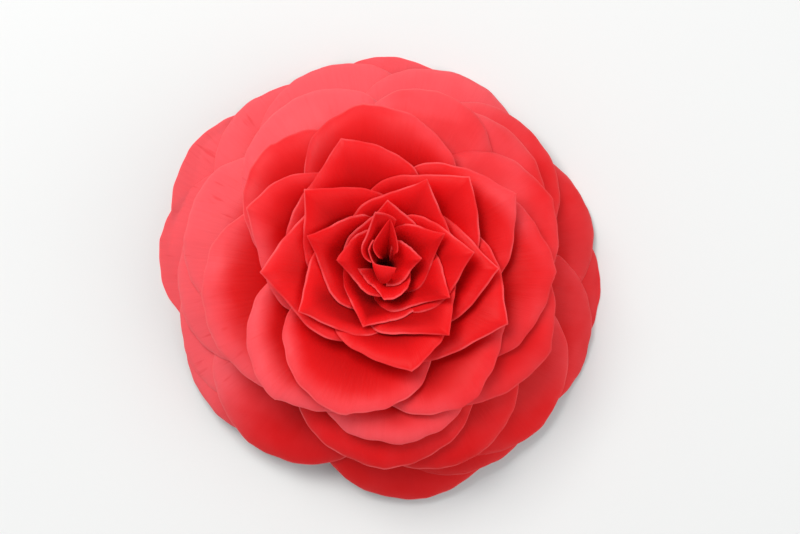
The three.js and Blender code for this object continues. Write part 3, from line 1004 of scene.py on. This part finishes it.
# %% Heart petals
HEART = [
    {
        "direction": 86, "foot": 1.7, "reach": 9.4, "bulge": 0, "top": 36.0, "flare": 1.9,
        "left": (62, 2, 2), "right": (40, 3, 2.8), "moved": (0, 0), "rim": 0.25,
    },
    {
        "direction": 104, "foot": 2.4, "reach": 10.9, "bulge": 0, "top": 36.8, "flare": 1.8,
        "left": (76, 3.4, 1.9), "right": (26, 9.2, 0.4), "moved": (0, 0), "rim": 1.0,
    },
    {
        "direction": 165, "foot": 1.9, "reach": 3.7, "bulge": 0, "top": 34.0, "flare": 1.0,
        "left": (56, 3, 0.8), "right": (36, 4, 0), "moved": (-0.5, 1.7), "rim": 0.8,
    },
    {
        "direction": 262, "foot": 1.9, "reach": 8.5, "bulge": 2.9, "top": 34.6, "flare": 1.0,
        "left": (18, 9, 0), "right": (18, 8.4, 0), "moved": (0.4, 7.6), "rim": 0.3,
    },
]
HEART_FOOT, HEART_LOW, HEART_SPAN = 20, 0.3, 0.55
HOOD_RISE, HOOD_SIDES = 0.35, 0.55
HEART_BUILD = (0.36, 0.7, 0.08)


def heart_places(petal, u, v):
    """Places of a heart petal's middle in mm, and the distance of each from its margin."""
    fall = fall_back(petal, v)
    reach = petal["reach"] * (1 - fall)
    bulge = petal["bulge"] * (1 - HOOD_SIDES * v**2)
    radius = petal["foot"] + (reach - petal["foot"]) * u ** petal["flare"] + bulge * 4 * u * (1 - u)
    rise = 1 - (1 - u) ** (1 + HOOD_RISE * petal["bulge"])
    height = HEART_FOOT + (petal["top"] - HEART_FOOT) * (1 - HEART_LOW * fall) * rise
    height = height - HOOD_SIDES * bulge * v**2 * u
    span = by_side(petal, v, 0) * (HEART_SPAN + (1 - HEART_SPAN) * u)
    turn = np.radians(petal["direction"] + span * v)
    places = np.stack([
        radius * np.cos(turn) + HEART_SHIFT[0] + petal["moved"][0] * u,
        radius * np.sin(turn) + HEART_SHIFT[1] + petal["moved"][1] * u,
        height,
    ], axis=1)
    return places, (1 - u) * (petal["top"] - HEART_FOOT)


def make_heart_petal(petal, number):
    own = {"rim_light": petal["rim"], "age": 0.0, "petal_number": number}
    return make_blade(BLANK, f"petal_{number:02d}", partial(heart_places, petal), HEART_BUILD, **own)


heart = [make_heart_petal(petal, len(PETALS) + k + 1) for k, petal in enumerate(HEART)]
print("heart petals", len(heart))

# %% [markdown]
# ## The bed of the petals
# All the petals grow from a fleshy cone in the middle, which is the end of the
# flower's own axis. It is hidden in the whole bloom, but it carries the petals and
# closes the bottom of the heart's hollow. A disc is drawn up into the cone in edit
# mode, ring by ring, by extruding its face and scaling it in.

# %% Petal bed
BED_RINGS = [(8.6, 6.4), (7.4, 9.0), (6.0, 12.0), (4.6, 15.0), (3.4, 18.0), (2.6, 20.5), (1.2, 21.6)]
BED_FOOT, BED_SIDES = (8.2, 4.5), 48


def raise_rings(rings, start_radius, start_height):
    """Extrudes the selected top face through rings of (radius, height) in mm."""
    radius, height = start_radius, start_height
    for new_radius, new_height in rings:
        bpy.ops.mesh.extrude_region_move(
            TRANSFORM_OT_translate={"value": (0, 0, (new_height - height) * MM)}
        )
        share = new_radius / radius
        bpy.ops.transform.resize(value=(share, share, 1))
        radius, height = new_radius, new_height


def make_disc(name, radius, height, sides):
    bpy.ops.object.select_all(action="DESELECT")
    bpy.ops.mesh.primitive_circle_add(
        vertices=sides, radius=radius * MM, fill_type="NGON", location=(0, 0, height * MM)
    )
    disc = bpy.context.object
    disc.name = name
    bpy.ops.object.transform_apply(location=True, rotation=True, scale=True)
    return disc


def make_bed():
    bed = make_disc("petal_bed", *BED_FOOT, BED_SIDES)
    bpy.ops.object.mode_set(mode="EDIT")
    bpy.ops.mesh.select_all(action="SELECT")
    raise_rings(BED_RINGS, *BED_FOOT)
    bpy.ops.mesh.select_all(action="SELECT")
    bpy.ops.mesh.normals_make_consistent(inside=False)
    bpy.ops.object.mode_set(mode="OBJECT")
    bpy.ops.object.shade_smooth()
    return bed


bed = make_bed()
print("bed", [round(c / MM, 1) for c in bed.dimensions], "mm, faces", len(bed.data.polygons))

# %% [markdown]
# ## The calyx
# Under the petals sit the receptacle, a small green cup, and round it the scales that
# wrapped the petals before they opened: short, rounded, overlapping blades, tougher
# than petals and brown at the rim. The cup is raised from a disc as the bed was, and
# the scar where the bloom was picked is inset in its underside.

# %% Receptacle
RECEPTACLE_FOOT, RECEPTACLE_SIDES = 4.8, 64
RECEPTACLE_RINGS = [(6.2, 0.45), (7.2, 1.3), (8.0, 2.3), (8.3, 3.0), (8.1, 3.9), (7.6, 4.5)]
SCAR_INSET, SCAR_RIM, SCAR_DEPTH = 2.2, 0.3, 0.4
ON_FLOOR, SOFT_ANGLE = 0.01, math.radians(35)
FAR_FROM_EDGE = 50.0


def make_receptacle():
    cup = make_disc("receptacle", RECEPTACLE_FOOT, 0, RECEPTACLE_SIDES)
    bpy.ops.object.mode_set(mode="EDIT")
    bpy.ops.mesh.select_all(action="SELECT")
    raise_rings(RECEPTACLE_RINGS, RECEPTACLE_FOOT, 0)
    bpy.ops.mesh.select_mode(type="FACE")
    pick(lambda middle: abs(middle.z) < ON_FLOOR * MM)
    bpy.ops.mesh.inset(thickness=SCAR_INSET * MM)
    bpy.ops.mesh.inset(thickness=SCAR_RIM * MM, depth=-SCAR_DEPTH * MM)
    bpy.ops.object.mode_set(mode="OBJECT")
    keep_attributes(cup.data, edge_mm=FAR_FROM_EDGE)
    bpy.ops.object.shade_smooth_by_angle(angle=SOFT_ANGLE)
    return cup


cup = make_receptacle()
print("receptacle", [round(c / MM, 1) for c in cup.dimensions], "mm")

# %% [markdown]
# ## The calyx scales
# The scales come from a blank of their own with fewer faces, because they are small
# and mostly hidden. Each is laid by the frame's formula, and cupped a little along
# its middle, because it once held a round form.

# %% Calyx scales
# Each whorl: its scales, turn, reach, height of root and tip in mm, half width in degrees
SCALE_WHORLS = [
    (4, 20, 9.2, 1.2, 2.2, 46),
    (5, 50, 12.2, 2.0, 4.0, 38),
    (5, 14, 14.4, 3.0, 5.2, 34),
]
SCALE_COLUMNS, SCALE_ROWS = 22, 12
SCALE_START, SCALE_FALL, SCALE_ROUNDING = 3, 0.3, 2.2
SCALE_NARROWING, NARROWING_RISE = 0.2, 3
SCALE_THICK, SCALE_CUPPING, CUP_LEVEL = 0.7, 0.35, 0.4
SCALE_BUILD = (SCALE_THICK, 0.6, 0.12)


def scale_places(whorl, middle, u, v):
    """Places of a scale's middle in mm, and the distance of each from the free edge."""
    _, _, reach, root, tip, half = whorl
    along = u * (1 - SCALE_FALL * np.abs(v) ** SCALE_ROUNDING)
    radius = SCALE_START + (reach - SCALE_START) * along
    height = root + (tip - root) * along + SCALE_CUPPING * (v**2 - CUP_LEVEL) * along
    height = np.maximum(height, SCALE_THICK / 2 + CLEAR_OF_FLOOR)
    angle = np.radians(middle + half * v * (1 - SCALE_NARROWING * u**NARROWING_RISE))
    places = np.stack([radius * np.cos(angle), radius * np.sin(angle), height], axis=1)
    side = (1 - np.abs(v)) * math.radians(half) * radius
    return places, np.minimum((1 - u) * (reach - SCALE_START), side)


def make_scales():
    blank = flat_blank("scale_blank", SCALE_COLUMNS, SCALE_ROWS)
    scales = []
    for whorl in SCALE_WHORLS:
        for k in range(whorl[0]):
            lay = partial(scale_places, whorl, whorl[1] + 360 * k / whorl[0])
            name = f"calyx_scale_{len(scales) + 1:02d}"
            scales.append(make_blade(blank, name, lay, SCALE_BUILD))
    bpy.data.objects.remove(blank)
    return scales


scales = make_scales()
print("scales", len(scales))

# %% [markdown]
# ## Finish: calyx green
# The scales are yellow-green, downy and dull, and dry out to brown along the rim. The
# shared margin group paints that rim, and the veins group gives faint ribs.

# %% Calyx skin
CALYX_GREEN, CALYX_SHADE = (0.16, 0.21, 0.045), (0.075, 0.12, 0.02)
DRY_BROWN = (0.14, 0.065, 0.025)
CALYX_SHADER = {"Sheen Weight": 0.25, "Sheen Roughness": 0.5}
RIB_SHARE, DRY_RIM_SHARE = 0.3, 0.85
CALYX_ROUGHNESS = (0.0, 1.0, 0.6, 0.75)


def calyx_skin():
    material, tree, shader = new_finish("calyx_skin", CALYX_SHADER)
    veins = place_group(tree, FINE_VEINS, Across=22.0, Along=1.6, Petal=0.4)
    margin = place_group(tree, MARGIN, Rim=0.9, Unevenness=1.2)
    ribs = veins.outputs["Veins"]
    colour = paint(
        tree,
        CALYX_SHADE,
        (veins.outputs["Mottle"], CALYX_GREEN),
        (product(tree, ribs, RIB_SHARE), CALYX_SHADE),
        (product(tree, margin.outputs["Rim mask"], DRY_RIM_SHARE), DRY_BROWN),
    )
    rough = range_node(tree, veins.outputs["Mottle"], *CALYX_ROUGHNESS)
    link_finish(tree, shader, colour, rough, ribs, Strength=0.4, Distance=0.00015)
    return material


CALYX_SKIN = calyx_skin()
for piece in [cup, *scales]:
    piece.data.materials.append(CALYX_SKIN)
print("calyx skin on", 1 + len(scales), "pieces")

# %% [markdown]
# ## Whole whorls
# The petals of a whorl open together, so they are joined to one piece for each
# whorl. That keeps the list of pieces short. The blank is removed.

# %% Join the whorls
def join(parts, name):
    bpy.ops.object.select_all(action="DESELECT")
    for part in parts:
        part.select_set(True)
    bpy.context.view_layer.objects.active = parts[0]
    bpy.ops.object.join()
    parts[0].name = name
    parts[0].data.name = name
    return parts[0]


whorls = [join(heart, "petals_heart")]
for k in range(len(WHORLS)):
    members = [piece for piece, petal in zip(petals, PETALS) if petal["whorl"] == k]
    whorls.append(join(members, f"petals_whorl_{k + 1:02d}"))
scale_piece = join(scales, "calyx_scales")
bpy.data.objects.remove(BLANK)
keep_attributes(bed.data, edge_mm=FAR_FROM_EDGE, rim_light=0.0, age=0.0, petal_number=0.0)
for piece in [*whorls, bed]:
    piece.data.materials.append(PETAL_SKIN)
    print(piece.name, len(piece.data.polygons), "faces")

# %% [markdown]
# ## The floor
# A plain pale floor lies under the bloom, larger than the picture.

# %% Floor
FLOOR_SIZE = 4
FLOOR_FINISH = {"Base Color": (0.80, 0.81, 0.80, 1), "Roughness": 0.9}


def add_floor():
    bpy.ops.object.select_all(action="DESELECT")
    bpy.ops.mesh.primitive_plane_add(size=FLOOR_SIZE, location=(0, 0, 0))
    floor = bpy.context.object
    floor.name = "floor"
    material, _, _ = new_finish("pale_floor", FLOOR_FINISH)
    floor.data.materials.append(material)
    return floor


floor = add_floor()
print("floor", tuple(floor.dimensions))

# %% [markdown]
# ## Hand the pieces to the frame
# Every piece rides on the one body, and the node of the frame that it stands for is hidden.

# %% Hand over
for piece in [*whorls, bed]:
    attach(piece, "root")
    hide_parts("corolla")
for piece in [cup, scale_piece]:
    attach(piece, "root")
    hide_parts("calyx")
